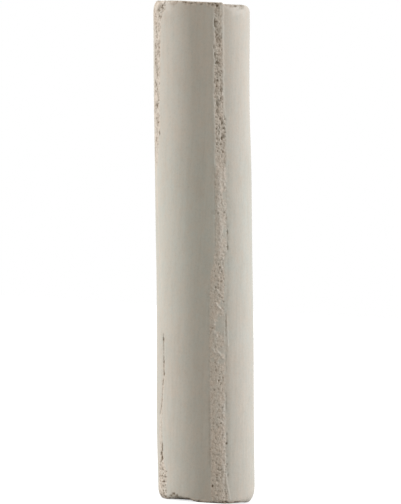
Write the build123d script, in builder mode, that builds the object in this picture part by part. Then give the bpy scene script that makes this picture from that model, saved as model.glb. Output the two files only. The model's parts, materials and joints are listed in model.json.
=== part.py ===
"""A round stick of soft pastel, standing on its foot.

The stick is one piece: a bar of pressed pigment and chalk, with no wrapper and no core. Both ends are
cut a little off square and parallel to each other, so the stick leans when it stands on its foot. Two
long strips of the barrel are slightly flattened, where the damp bar was held while it dried. The edges
of the ends are rubbed round, and four of their corners are worn further away.

Frame: the origin is the centre of the foot face, +Z is up, and the front is -Y. An angle about the
barrel is measured from the front, and is positive towards +X.
"""

import math
import os

from build123d import *

# Barrel, in millimetres and degrees
stick_diameter = 12.5
stick_length = 64.6  # along the barrel's own axis, from cut to cut
end_slant = 4.1  # how far both cuts are off square, and so how far the stick leans towards -X

# Flattened strips along the barrel: where each is, and how wide its flat is
front_strip_angle = 18.5
front_strip_width = 1.9
side_strip_angle = -63.0
side_strip_width = 1.3
strip_edge_round = 1.5  # where a flat runs out into the round of the barrel

# Rounding of the edges of the two ends
crown_edge_round = 0.45
foot_edge_round = 0.6

# Worn corners: where each is, how far it takes the barrel's wall, and how far the end face
crown_left_angle, crown_left_wall, crown_left_face = -62.0, 2.2, 0.5
crown_right_angle, crown_right_wall, crown_right_face = 85.0, 1.3, 0.8
foot_left_angle, foot_left_wall, foot_left_face = -85.0, 1.8, 1.0
foot_right_angle, foot_right_wall, foot_right_face = 85.0, 1.8, 1.1

stick_radius = stick_diameter / 2
stand_height = stick_length * math.cos(math.radians(end_slant))
end_allowance = stick_radius  # spare length beyond each end, which the cuts take off

barrel_plane = Plane.XY.rotated((0, -end_slant, 0))
barrel_axis = barrel_plane.z_dir


def flat_distance(width: float) -> float:
    """How far a flat of this width lies from the barrel's axis."""
    return math.sqrt(stick_radius**2 - (width / 2) ** 2)


def outward(angle: float) -> Vector:
    """The direction straight out of the barrel at an angle from the front."""
    turn = math.radians(angle)
    return barrel_plane.x_dir * math.sin(turn) - barrel_plane.y_dir * math.cos(turn)


def rim_point(angle: float, end_height: float) -> Vector:
    """The point of the barrel's wall at an angle, where an end's cut meets it."""
    wall_point = outward(angle) * stick_radius
    return wall_point + barrel_axis * ((end_height - wall_point.Z) / barrel_axis.Z)


def corner_plane(low_point: Vector, high_point: Vector, angle: float) -> Plane:
    """The plane of a worn corner, through its two edges, facing out of the barrel."""
    tangent = outward(angle + 90)
    return Plane(origin=low_point, x_dir=tangent, z_dir=tangent.cross(high_point - low_point))


def crown_corner(angle: float, wall: float, face: float) -> Plane:
    """The plane of a worn corner of the crown."""
    rim = rim_point(angle, stand_height)
    return corner_plane(rim - barrel_axis * wall, rim - outward(angle) * face, angle)


def foot_corner(angle: float, wall: float, face: float) -> Plane:
    """The plane of a worn corner of the foot."""
    rim = rim_point(angle, 0)
    return corner_plane(rim - outward(angle) * face, rim + barrel_axis * wall, angle)


flat_strips = [(front_strip_angle, front_strip_width), (side_strip_angle, side_strip_width)]
worn_corners = [
    crown_corner(crown_left_angle, crown_left_wall, crown_left_face),
    crown_corner(crown_right_angle, crown_right_wall, crown_right_face),
    foot_corner(foot_left_angle, foot_left_wall, foot_left_face),
    foot_corner(foot_right_angle, foot_right_wall, foot_right_face),
]

with BuildPart() as pastel_stick:
    # The pressed bar, longer than the stick at both ends
    with BuildSketch(barrel_plane.offset(-end_allowance)) as bar_section:
        Circle(stick_radius)
        for angle, width in flat_strips:
            with PolarLocations(flat_distance(width), 1, start_angle=angle - 90):
                # All that lies outside the flat
                Rectangle(
                    stick_diameter, stick_diameter, align=(Align.MIN, Align.CENTER), mode=Mode.SUBTRACT
                )
        fillet(bar_section.edges().filter_by(GeomType.LINE).vertices(), radius=strip_edge_round)
    extrude(amount=stick_length + 2 * end_allowance)

    # The two cuts, parallel to the surface that the stick stands on
    split(bisect_by=Plane.XY, keep=Keep.TOP)
    split(bisect_by=Plane.XY.offset(stand_height), keep=Keep.BOTTOM)
    fillet(faces().sort_by(Axis.Z)[-1].edges(), radius=crown_edge_round)
    fillet(faces().sort_by(Axis.Z)[0].edges(), radius=foot_edge_round)

    # The worn corners
    for corner in worn_corners:
        split(bisect_by=corner, keep=Keep.BOTTOM)

pastel_stick.part.label = "pastel_stick"

os.makedirs("parts", exist_ok=True)
export_step(pastel_stick.part, "parts/pastel_stick.step")
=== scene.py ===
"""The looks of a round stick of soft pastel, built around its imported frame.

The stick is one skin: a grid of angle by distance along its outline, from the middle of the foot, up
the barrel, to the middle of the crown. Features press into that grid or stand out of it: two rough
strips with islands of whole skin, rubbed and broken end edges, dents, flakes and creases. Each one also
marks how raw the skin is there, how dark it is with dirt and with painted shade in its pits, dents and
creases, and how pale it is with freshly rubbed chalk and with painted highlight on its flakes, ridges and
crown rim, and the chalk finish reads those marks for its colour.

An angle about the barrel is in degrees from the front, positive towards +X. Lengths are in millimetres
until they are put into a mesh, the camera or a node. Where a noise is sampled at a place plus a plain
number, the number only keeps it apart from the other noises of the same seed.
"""

import itertools
import json
import logging
import math
from dataclasses import dataclass
from enum import Enum
from typing import Any, Callable, Mapping, Optional, Sequence, Union

import bpy
import numpy as np
from mathutils import Matrix, Vector


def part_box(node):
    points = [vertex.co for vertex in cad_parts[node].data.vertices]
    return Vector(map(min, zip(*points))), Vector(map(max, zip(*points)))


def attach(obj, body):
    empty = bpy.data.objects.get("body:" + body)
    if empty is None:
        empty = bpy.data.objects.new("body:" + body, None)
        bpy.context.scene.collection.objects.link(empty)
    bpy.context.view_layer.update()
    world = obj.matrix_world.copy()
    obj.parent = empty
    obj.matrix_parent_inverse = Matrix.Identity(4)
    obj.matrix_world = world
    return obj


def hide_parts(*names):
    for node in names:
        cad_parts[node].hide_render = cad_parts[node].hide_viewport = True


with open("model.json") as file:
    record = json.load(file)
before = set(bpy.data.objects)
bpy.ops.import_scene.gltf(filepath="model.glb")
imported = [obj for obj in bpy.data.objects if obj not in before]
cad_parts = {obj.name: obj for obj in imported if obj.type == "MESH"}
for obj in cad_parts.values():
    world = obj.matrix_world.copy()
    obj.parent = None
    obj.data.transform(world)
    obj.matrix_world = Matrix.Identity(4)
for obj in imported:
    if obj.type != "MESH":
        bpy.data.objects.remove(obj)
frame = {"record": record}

Array = np.ndarray
Colour = tuple[float, float, float]

MM = 0.001
log = logging.getLogger("pastel")


def ease(low: float, high: float, value: Array) -> Array:
    """A smooth step from 0 to 1 as a value goes from low to high.

    Args:
        low: where the step starts. It may be above high, for a step down.
        high: where the step ends.
        value: the values to step.

    Returns:
        3t^2 - 2t^3, with t the share of the way from low to high, held between 0 and 1.
    """
    share = np.clip((value - low) / (high - low), 0.0, 1.0)
    return share * share * (3.0 - 2.0 * share)


def uneven_steps(start: float, end: float, count: int, density: Callable[[Array], Array]) -> Array:
    """Values from start to end, crowded where a density is high.

    Args:
        start: the first value.
        end: where the values end. It isn't one of them.
        count: how many values there are.
        density: the crowding wanted at each value.

    Returns:
        The values at equal steps of the running total of the density.
    """
    samples_per_value = 20
    fine = np.linspace(start, end, samples_per_value * count)
    total = np.concatenate([[0.0], np.cumsum(density(0.5 * (fine[1:] + fine[:-1])))])
    return np.interp(np.linspace(0.0, total[-1], count, endpoint=False), total, fine)


def between(
    stations: Sequence[Any], by: str, name: str, where: Array, period: Optional[float] = None
) -> Array:
    """A quantity of some stations, in straight runs between them.

    Args:
        stations: in the order in which they stand.
        by: the attribute that says where each one stands.
        name: the attribute that is wanted.
        where: the places that it is wanted at.
        period: how far it is once round, where the stations stand in a ring.

    Returns:
        Its values.
    """
    stands = [getattr(station, by) for station in stations]
    return np.interp(where, stands, [getattr(station, name) for station in stations], period=period)


class Grain:
    """Seeded noise in space: bumps about one unit across."""

    TABLE = 256  # a power of 2, so that a cell's number wraps round by its last bits
    STRENGTH = 1.6  # brings the bumps to between about -1 and 1
    APART = 17.3  # how far apart the layers are sampled

    def __init__(self, seed: int) -> None:
        """Shuffle the tables.

        Args:
            seed: the number that the shuffle grows from.
        """
        draw = np.random.default_rng(seed)
        self.order = draw.permutation(self.TABLE)
        slopes = draw.normal(size=(self.TABLE, 3))
        self.slopes = slopes / np.linalg.norm(slopes, axis=1, keepdims=True)

    def _entry(self, cell: Array) -> Array:
        """The table entry of each lattice cell.

        Args:
            cell: whole numbers, with the three directions last.

        Returns:
            Entries below TABLE.
        """
        last = self.TABLE - 1
        entry = self.order[cell[..., 0] & last]
        entry = self.order[(entry + cell[..., 1]) & last]
        return self.order[(entry + cell[..., 2]) & last]

    def bumps(self, points: Array) -> Array:
        """Gradient noise: slopes fixed at the lattice points, and blended between them.

        Args:
            points: where to sample, with the three directions last.

        Returns:
            The sum over a cell's corners of the corner's weight times its slope's rise to the point. A
            weight is the product of 6t^5 - 15t^4 + 10t^3 in each direction, with t the way to the corner.
        """
        base = np.floor(points).astype(int)
        inside = points - base
        blend = inside**3 * (inside * (inside * 6.0 - 15.0) + 10.0)
        total = np.zeros(points.shape[:-1])
        for corner in itertools.product((0, 1), repeat=3):
            step = np.array(corner)
            weight = np.prod(np.where(step == 1, blend, 1.0 - blend), axis=-1)
            total += weight * np.sum((inside - step) * self.slopes[self._entry(base + step)], axis=-1)
        return self.STRENGTH * total

    def layers(self, points: Array, count: int, gain: float = 0.5) -> Array:
        """Bumps with finer and fainter bumps on them.

        Args:
            points: where to sample, in units of the widest bump.
            count: how many layers there are, each half as wide as the last.
            gain: the height of each layer, as a share of the last.

        Returns:
            The sum of the layers.
        """
        return sum(gain**i * self.bumps(points * 2**i + self.APART * i) for i in range(count))


@dataclass(frozen=True)
class Barrel:
    """The leaning round bar that the stick is cut from.

    Attributes:
        radius: of the barrel.
        height: from the foot face up to the crown face.
        lean: unit vector along the barrel, upwards.
    """

    radius: float
    height: float
    lean: Array

    @classmethod
    def from_frame(cls, record: Mapping[str, Any], node: str, mount: str) -> "Barrel":
        """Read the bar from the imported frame.

        Args:
            record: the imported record.
            node: the stick's node, which gives the height.
            mount: the round mount that gives the radius and the lean.

        Returns:
            The bar.
        """
        pin = next(m for m in record["mounts"] if m["name"] == mount)
        axis = np.array(pin["axis"], float)
        return cls(pin["dims"]["r_mm"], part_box(node)[1].z / MM, axis / np.linalg.norm(axis))

    def arc(self, angle: Union[Array, float]) -> Union[Array, float]:
        """The length of the barrel's round from the front to an angle."""
        return np.radians(angle) * self.radius

    def place(self, angle: Array, reach: Array, height: Array) -> Array:
        """Points of the leaning bar.

        The way out of the bar is its cross direction times the angle's sine, less the back direction
        times its cosine. A point is its reach along that way, plus as much of the lean as brings it to
        its height.

        Args:
            angle: about the barrel.
            reach: distance from the barrel's axis.
            height: above the foot face.

        Returns:
            Points, with the three directions last.
        """
        back = np.array([0.0, 1.0, 0.0])
        cross = np.cross(back, self.lean)
        turn = np.radians(angle)[..., None]
        across = np.asarray(reach)[..., None] * (cross * np.sin(turn) - back * np.cos(turn))
        along = (np.asarray(height)[..., None] - across[..., 2:]) / self.lean[2]
        return across + along * self.lean


@dataclass
class Skin:
    """The surface of the stick as a grid, and what its features have added.

    Attributes:
        angle: about the barrel, for each grid point.
        height: above the foot face.
        wall: 1 on the barrel, 0 on an end face.
        spot: the place on the unrolled barrel, and 0: the point where flat noise is sampled.
        space: the place in space, where solid noise is sampled.
        proud: how far out of the plain bar the surface stands, negative where it is sunk.
        raw: 0 on the smooth skin, 1 where the grain of the chalk is bare.
        pit_shade_and_dirt: 0 on clean chalk, 1 deep in a pit, darkened there by dirt and by painted shade.
        fresh_and_highlight: 1 where the chalk is paler: freshly rubbed, with painted highlight on flakes,
            ridges and the crown's rim.
        blush: 0 where the chalk is at its greyest, 1 where it is at its pinkest.
        dull: 0 where the chalk is at its lightest, 1 where it is at its darkest.
    """

    angle: Array
    height: Array
    wall: Array
    spot: Array
    space: Array
    proud: Array
    raw: Array
    pit_shade_and_dirt: Array
    fresh_and_highlight: Array
    blush: Array
    dull: Array

    MARKS = ("raw", "pit_shade_and_dirt", "fresh_and_highlight", "blush", "dull")

    def raise_to(self, name: str, values: Array, where: Any = ...) -> None:
        """Lift a mark to at least these values.

        Args:
            name: the mark.
            values: what it is lifted to.
            where: the grid points that they are for.
        """
        mark = getattr(self, name)
        mark[where] = np.maximum(mark[where], values)


@dataclass(frozen=True)
class Station:
    """How a rough strip is at one height.

    Attributes:
        height: above the foot.
        left: angle of its left edge.
        right: angle of its right edge.
        torn: 0 where it is smooth, 1 where it is torn.
        soil: how dirty it is between its pits.
        left_lip: height of the lip that stands along its left edge.
        right_lip: the same on the right.
        step: how far the barrel beside its right edge lies under it.
    """

    height: float
    left: float
    right: float
    torn: float
    soil: float
    left_lip: float = 0.0
    right_lip: float = 0.0
    step: float = 0.0


@dataclass(frozen=True)
class RoughStrip:
    """A long strip of bare grain up the barrel, carried from station to station.

    Attributes:
        stations: from the foot to the crown.
        sink: how far its bed lies under the barrel.
        tear: height of its torn relief.
        pitting: depth of its pits.
        spread: how many times wider its grain is across than up.
        seed: for its noise.
    """

    stations: Sequence[Station]
    sink: float
    tear: float
    pitting: float
    spread: float
    seed: int

    WANDER = 0.12  # how far its edges wander
    BEND = 1.25  # length of the bends in them
    RAG = 0.35  # size of the rags on them
    RAGGED = 0.4  # height of the rags, as a share of the bends
    EDGE = 0.14  # width over which the bed begins
    LIP = 0.22  # half the width of a lip
    LIP_PATCH = 0.9  # length of a lip's higher and lower stretches
    STEP_EDGE = 0.28  # width over which the barrel steps down
    STEP_REACH = 1.3  # how far it takes to come back
    CLEANER = 0.6  # how far in from the right edge the bed is cleaner
    SKEW = 0.30  # how far the grain runs to the right for each unit down
    CLUMP = 0.50  # width of the clumps
    CLUMPS = 0.6  # their share of the tear
    CRUMB = 0.18  # width of the crumbs
    CRUMBS = 0.55  # their share of the tear
    PIT = 0.30  # width of the pits
    PIT_LEVEL = -0.32  # how dark the deepest are, with dirt and with painted shade
    PIT_SHADE_AND_DIRT = 0.6  # how dirty the deepest are
    SMEAR = (0.60, 1.60, 1.00)  # width and height of the smears of dirt
    ROUGHER = 0.6  # gain of the noises that are rougher than most

    def _at(self, name: str, height: Array) -> Array:
        """A quantity of the stations at some heights."""
        return between(self.stations, "height", name, height)

    def _edges(self, skin: Skin, barrel: Barrel, grain: Grain) -> tuple[Array, Array]:
        """How far each grid point lies inside the strip's two edges, which wander and are ragged.

        Args:
            skin: the grid.
            barrel: gives the length of an arc.
            grain: makes the edges wander.

        Returns:
            The distance from the left edge and the distance to the right edge, negative beyond them.
        """
        bends = skin.spot * np.array([0.0, 1.0 / self.BEND, 0.0])
        rags = self.RAGGED * grain.layers(skin.spot / self.RAG, 2)
        from_left = skin.spot[..., 0] - barrel.arc(self._at("left", skin.height))
        from_left += self.WANDER * (grain.layers(bends, 3, self.ROUGHER) + rags)
        to_right = barrel.arc(self._at("right", skin.height)) - skin.spot[..., 0]
        to_right += self.WANDER * (grain.layers(bends + 31.0, 3, self.ROUGHER) + rags)
        return from_left, to_right

    def _lips(self, skin: Skin, from_left: Array, to_right: Array, grain: Grain) -> Array:
        """The lips along the edges: exp(-d^2), with d the distance from just outside an edge over LIP.

        Args:
            skin: the grid.
            from_left: the distance from the left edge.
            to_right: the distance to the right edge.
            grain: makes the lips uneven along their length.

        Returns:
            How far they stand out.
        """
        left = np.exp(-((from_left / self.LIP + 0.5) ** 2))
        right = np.exp(-((to_right / self.LIP + 0.5) ** 2))
        lips = self._at("left_lip", skin.height) * left + self._at("right_lip", skin.height) * right
        patches = skin.spot * np.array([0.0, 1.0 / self.LIP_PATCH, 0.0])
        return lips * np.clip(0.8 + 0.7 * grain.layers(patches + 5.0, 3), 0.2, 1.6)

    def carve(self, skin: Skin, barrel: Barrel) -> None:
        """Cut the strip into the skin.

        Its bed is sunk, and carries three noises, sampled on the unrolled barrel and skewed so that the
        grain runs down to the right. The clumps are 1 less a multiple of the first noise's size, the crumbs
        are the second, and the pits are twice as deep as the third falls below PIT_LEVEL, up to 1. The
        deeper a
        pit is, the darker it is painted: painted shade, with dirt. The bed is less raw and less dirty
        towards its right edge. A rounded lip stands along each edge, and the barrel beyond the right edge
        steps down and comes back over STEP_REACH.

        Args:
            skin: what it is cut into.
            barrel: gives the length of an arc.
        """
        grain = Grain(self.seed)
        from_left, to_right = self._edges(skin, barrel, grain)
        bed = ease(0.0, self.EDGE, from_left) * ease(0.0, self.EDGE, to_right) * skin.wall
        torn = bed * self._at("torn", skin.height)

        skewed = skin.spot + skin.spot[..., 1:2] * np.array([self.SKEW, 0.0, 0.0])
        skewed /= (self.spread, 1.0, 1.0)
        clumps = 1.0 - 2.4 * np.abs(grain.layers(skewed / self.CLUMP, 3, self.ROUGHER))
        crumbs = grain.layers(skewed / self.CRUMB + 7.7, 2, 0.7)
        deep = self.PIT_LEVEL - grain.layers(skewed / self.PIT + 3.1, 3, self.ROUGHER)
        lows = 2.0 * np.clip(deep, 0.0, 0.5)
        smears = np.clip(0.15 + grain.layers(skin.spot / self.SMEAR, 3), 0.0, 1.0)

        beyond = ease(0.0, -self.STEP_EDGE, to_right)
        beyond *= np.clip(1.0 + to_right / self.STEP_REACH, 0.0, 1.0)
        relief = self.tear * (self.CLUMPS * clumps + self.CRUMBS * crumbs)
        skin.proud += torn * (relief - self.pitting * lows)
        skin.proud += self._lips(skin, from_left, to_right, grain) * skin.wall - bed * self.sink
        skin.proud -= self._at("step", skin.height) * beyond * skin.wall

        inner = ease(-0.5 * self.CLEANER, self.CLEANER, to_right)
        raw = np.minimum(0.55 + 0.45 * self._at("torn", skin.height), 1.0) * (0.75 + 0.25 * inner)
        soil = bed * self._at("soil", skin.height) * np.clip(0.3 + smears - 0.4 * clumps, 0.0, 1.0)
        skin.raise_to("raw", bed * raw)
        # the pits are painted darker the deeper they are: painted shade, with dirt; the soil between them
        # is dirt
        skin.raise_to("pit_shade_and_dirt", np.clip(self.PIT_SHADE_AND_DIRT * torn * lows + soil * inner, 0.0, 1.0))


@dataclass(frozen=True)
class Mark:
    """A dent in the barrel, or a flake on it where its depth is negative, as a stretched and ragged round.

    Attributes:
        angle: of its middle.
        height: of its middle.
        length: half its long way.
        width: half its short way.
        depth: at its middle.
        stain_and_shade: how dark its middle is, with dirt and with painted shade in the dent.
        turn: how far its long way leans from upright, in degrees, positive to the right.
        ragged: how uneven its outline is.
    """

    angle: float
    height: float
    length: float
    width: float
    depth: float
    stain_and_shade: float = 0.0
    turn: float = 0.0
    ragged: float = 0.45

    FADE = 1.35  # where it fades out, in half sizes
    NEAR = 2.0  # how far its ragged outline may reach, as a share of the fade, squared
    RAG = 0.3  # size of the rags of its outline
    FLAKE_FRESH_AND_HIGHLIGHT = 0.8  # how pale the middle of a flake is: fresh chalk with painted highlight

    def press(self, skin: Skin, barrel: Barrel, grain: Grain) -> None:
        """Press the mark into the skin as (1 - d^2)^2, with d the distance over FADE half sizes.

        Args:
            skin: what it is pressed into.
            barrel: gives the length of an arc.
            grain: roughens the mark's outline.
        """
        across = skin.spot[..., 0] - barrel.arc(self.angle)
        up = skin.height - self.height
        cosine, sine = math.cos(math.radians(self.turn)), math.sin(math.radians(self.turn))
        along, aside = up * cosine + across * sine, across * cosine - up * sine
        squared = ((along / self.length) ** 2 + (aside / self.width) ** 2) / self.FADE**2
        near = squared < self.NEAR
        rough = 1.0 + self.ragged * grain.bumps(skin.spot[near] / self.RAG)
        shape = np.clip(1.0 - squared[near] * rough, 0.0, 1.0) ** 2 * skin.wall[near]
        skin.proud[near] -= self.depth * shape
        # the dent's middle is painted darker: dirt and painted shade
        skin.raise_to("pit_shade_and_dirt", self.stain_and_shade * np.sqrt(shape), near)
        if self.depth < 0.0 < self.ragged:
            # a flake's raised middle is painted paler: fresh chalk and painted highlight
            skin.raise_to("fresh_and_highlight", self.FLAKE_FRESH_AND_HIGHLIGHT * np.sqrt(shape), near)


@dataclass(frozen=True)
class Crease:
    """A long mark through points on the barrel: a groove, or a ridge where its depth is negative.

    Attributes:
        points: angle and height of each.
        width: half its width.
        depth: at its middle.
        stain_and_shade: how dark its middle is, with dirt and with painted shade in the groove.
    """

    points: Sequence[tuple[float, float]]
    width: float
    depth: float
    stain_and_shade: float = 0.0

    MARGIN = 4.0  # how far from its points it is worked out, in half widths
    WANDER = 0.05  # how far it wanders from its points
    BEND = 0.6  # length of the bends in it
    PATCH = 0.5  # length of its deeper and shallower stretches
    RIDGE_FRESH_AND_HIGHLIGHT = 0.5  # how pale the middle of a ridge is: fresh chalk with painted highlight

    def press(self, skin: Skin, barrel: Barrel, grain: Grain) -> None:
        """Press the crease into the skin as exp(-d^2), with d the distance over its half width.

        Args:
            skin: what it is pressed into.
            barrel: gives the length of an arc.
            grain: makes the crease wander, and be uneven along its length.
        """
        path = np.array([(barrel.arc(angle), height) for angle, height in self.points])
        margin = self.MARGIN * self.width
        flat = skin.spot[..., :2]
        near = np.all((flat > path.min(axis=0) - margin) & (flat < path.max(axis=0) + margin), axis=-1)
        spots = flat[near] + self.WANDER * grain.layers(skin.spot[near] / self.BEND, 2)[:, None]
        distance = np.full(len(spots), np.inf)
        for start, end in zip(path, path[1:]):
            run = end - start
            share = np.clip((spots - start) @ run / (run @ run), 0.0, 1.0)
            distance = np.minimum(distance, np.linalg.norm(spots - start - share[:, None] * run, axis=1))
        uneven = np.clip(0.85 + 0.6 * grain.layers(skin.spot[near] / self.PATCH, 2), 0.15, 1.4)
        shape = np.exp(-((distance / self.width) ** 2)) * uneven * skin.wall[near]
        skin.proud[near] -= self.depth * shape
        # the groove's middle is painted darker: dirt and painted shade
        skin.raise_to("pit_shade_and_dirt", self.stain_and_shade * shape, near)
        if self.depth < 0.0:
            # a ridge's middle is painted paler: fresh chalk and painted highlight
            skin.raise_to("fresh_and_highlight", self.RIDGE_FRESH_AND_HIGHLIGHT * shape, near)


@dataclass(frozen=True)
class Island:
    """A patch of whole skin that is left in a rough strip.

    Attributes:
        angle: of its middle.
        height: of its middle.
        length: half its height.
        width: half its width.
    """

    angle: float
    height: float
    length: float
    width: float

    LEVEL = 0.01  # how far its skin stands out of the plain bar
    NEAR = 2.0  # how far its uneven outline may reach, in half sizes
    BAY = 0.4  # size of the bays in its outline
    RIM = (1.15, 0.75)  # where it ends and where it is whole, in half sizes

    def press(self, skin: Skin, barrel: Barrel, grain: Grain) -> None:
        """Smooth and clean the skin where the distance over the half size steps down across RIM.

        Args:
            skin: what is smoothed.
            barrel: gives the length of an arc.
            grain: makes the outline uneven.
        """
        across = (skin.spot[..., 0] - barrel.arc(self.angle)) / self.width
        distance = np.hypot(across, (skin.height - self.height) / self.length)
        near = distance < self.NEAR
        uneven = 1.0 + 0.5 * grain.bumps(skin.spot[near] / self.BAY)
        kept = ease(*self.RIM, distance[near] * uneven)
        skin.proud[near] += kept * (self.LEVEL - skin.proud[near])
        skin.raw[near] *= 1.0 - kept
        skin.pit_shade_and_dirt[near] *= 1.0 - kept


Feature = Union[Mark, Crease, Island]


@dataclass(frozen=True)
class EdgeStation:
    """How the edge of an end is at one angle.

    Attributes:
        angle: about the barrel.
        wall: how far its rounding reaches along the barrel.
        face: how far it reaches over the end face.
        lift: how far the edge lies inside the plane of the cut.
        broken: 0 where it is rubbed smooth, 1 where it is broken.
        soil: how dirty it is.
        fresh_and_highlight: how pale it is: freshly rubbed, with painted highlight on the rounded rim.
    """

    angle: float
    wall: float
    face: float
    lift: float = 0.0
    broken: float = 0.1
    soil: float = 0.1
    fresh_and_highlight: float = 0.0


@dataclass(frozen=True)
class EndEdge:
    """The worn edge round one end of the stick, carried from station to station round the barrel.

    Attributes:
        stations: from -180 degrees to below 180.
        chip: depth of the chips where it is broken.
        soil_band: width of its dirty band.
        fresh_band: width of its pale band, freshly rubbed and with painted highlight.
        seed: for its noise.
    """

    stations: Sequence[EdgeStation]
    chip: float
    soil_band: float
    fresh_band: float
    seed: int

    CHIP_SIZE = 0.55  # width of the chips
    PATCH = 1.1  # length of the wider and narrower stretches of its bands

    def at(self, name: str, angle: Array) -> Array:
        """A quantity of the stations at some angles, carried on round the back."""
        return between(self.stations, "angle", name, angle, period=360.0)

    def chip_away(self, skin: Skin, distance: Array) -> None:
        """Break chips out of the edge, dirty the skin beside it, and pale it: freshly rubbed chalk with
        painted highlight.

        A chip is as deep as a noise is high there. Each of the three bands is a step down in the distance
        from the edge, which is stretched and squeezed by another noise.

        Args:
            skin: what they are broken out of.
            distance: from the edge, over the surface.
        """
        grain = Grain(self.seed)
        gone = np.clip(0.3 + grain.layers(skin.space / self.CHIP_SIZE, 4, 0.65), 0.0, 1.0)
        stretch = np.clip(1.0 + 0.8 * grain.layers(skin.space / self.PATCH + 9.0, 2), 0.3, 1.7)
        away = distance / stretch
        broken = self.at("broken", skin.angle) * ease(self.soil_band, 0.4 * self.soil_band, away)
        soil = self.at("soil", skin.angle) * ease(1.1 * self.soil_band, 0.1 * self.soil_band, away)
        fresh_and_highlight = self.at("fresh_and_highlight", skin.angle) * ease(self.fresh_band, 0.4 * self.fresh_band, away)
        skin.proud -= broken * self.chip * gone
        skin.raise_to("raw", ease(0.0, 0.4, broken))
        skin.raise_to("pit_shade_and_dirt", soil * (0.35 + 0.65 * ease(0.2, 0.8, gone)))
        # the pale band under the rim: freshly rubbed chalk and painted highlight
        skin.raise_to("fresh_and_highlight", fresh_and_highlight * (1.0 - soil))


class Wire:
    """A number that runs through a shader, with arithmetic on it."""

    def __init__(self, graph: "Graph", socket: bpy.types.NodeSocket) -> None:
        """Hold a socket of a graph."""
        self.graph, self.socket = graph, socket

    def _math(self, operation: str, first: Any, second: Any) -> "Wire":
        """A Math node on two values or wires, named by its operation."""
        return self.graph.node("ShaderNodeMath", {"operation": operation}, {0: first, 1: second})

    def __add__(self, other: Any) -> "Wire":
        """The sum."""
        return self._math("ADD", self, other)

    def __sub__(self, other: Any) -> "Wire":
        """The difference."""
        return self._math("SUBTRACT", self, other)

    def __rsub__(self, other: Any) -> "Wire":
        """The difference, from a number."""
        return self._math("SUBTRACT", other, self)

    def __mul__(self, other: Any) -> "Wire":
        """The product."""
        return self._math("MULTIPLY", self, other)

    def at_least(self, other: Any) -> "Wire":
        """The greater of this and another."""
        return self._math("MAXIMUM", self, other)

    __radd__ = __add__
    __rmul__ = __mul__


Value = Union[Wire, float, Sequence[float]]


@dataclass(frozen=True)
class Mottle:
    """A cloudy noise in a finish.

    Attributes:
        size: width of its blotches.
        detail: how many finer layers it has.
        stretch: how many times longer the blotches are up the stick than across it.
        gain: the strength of each finer layer, as a share of the last.
    """

    size: float
    detail: float
    stretch: float = 1.0
    gain: float = 0.5


class Graph:
    """The node tree of a material or of the world, emptied and built anew."""

    def __init__(self, owner: Union[bpy.types.Material, bpy.types.World]) -> None:
        """Empty the owner's tree.

        Args:
            owner: the material or world.
        """
        owner.use_nodes = True
        self.tree = owner.node_tree
        self.tree.nodes.clear()

    def node(
        self,
        kind: str,
        settings: Optional[Mapping[str, Any]] = None,
        values: Optional[Mapping[Union[int, str], Value]] = None,
        output: Union[int, str] = 0,
    ) -> Wire:
        """Add a node.

        Args:
            kind: the node's type.
            settings: its own properties, which are set first.
            values: what goes into its sockets: numbers, colours or wires.
            output: the socket that the returned wire leaves by.

        Returns:
            The wire.
        """
        made = self.tree.nodes.new(kind)
        for name, value in (settings or {}).items():
            setattr(made, name, value)
        for name, value in (values or {}).items():
            if isinstance(value, Wire):
                self.tree.links.new(value.socket, made.inputs[name])
            else:
                made.inputs[name].default_value = value
        return Wire(self, made.outputs[output] if made.outputs else None)

    def mark(self, name: str) -> Wire:
        """The number that the skin keeps under this name."""
        return self.node("ShaderNodeAttribute", {"attribute_name": name}, output="Fac")

    def mottle(self, noise: Mottle) -> Wire:
        """Noise in the object's own coordinates.

        Args:
            noise: its sizes.

        Returns:
            A wire about 0.5, between 0 and 1.
        """
        place = self.node("ShaderNodeTexCoord", output="Object")
        scale = 1.0 / (noise.size * MM)
        scales = (scale, scale, scale / noise.stretch)
        spread = self.node("ShaderNodeVectorMath", {"operation": "MULTIPLY"}, {0: place, 1: scales})
        values = {"Vector": spread, "Scale": 1.0, "Detail": noise.detail, "Roughness": noise.gain}
        return self.node("ShaderNodeTexNoise", values=values)

    def tint(self, share: Value, first: Value, second: Value, blend: str = "MIX") -> Wire:
        """A colour between two, by a share from 0 to 1, or another blend of them."""
        settings = {"data_type": "RGBA", "clamp_factor": True, "blend_type": blend}
        return self.node("ShaderNodeMix", settings, {0: share, 6: first, 7: second}, 2)

    def end(self, shader: Wire) -> None:
        """Send a shader to the surface output.

        Args:
            shader: what the surface, or the sky, looks like.
        """
        world = isinstance(self.tree.id_data, bpy.types.World)
        kind = "ShaderNodeOutputWorld" if world else "ShaderNodeOutputMaterial"
        self.node(kind, values={"Surface": shader})


def opaque(colour: Colour) -> tuple[float, float, float, float]:
    """A colour with full cover, as colour sockets take it."""
    return (*colour, 1.0)


def add_object(name: str, data: bpy.types.ID) -> bpy.types.Object:
    """Add an object to the scene.

    Args:
        name: what it is called.
        data: the mesh, lamp or camera that it shows.

    Returns:
        The object.
    """
    added = bpy.data.objects.new(name, data)
    bpy.context.scene.collection.objects.link(added)
    return added


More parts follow.
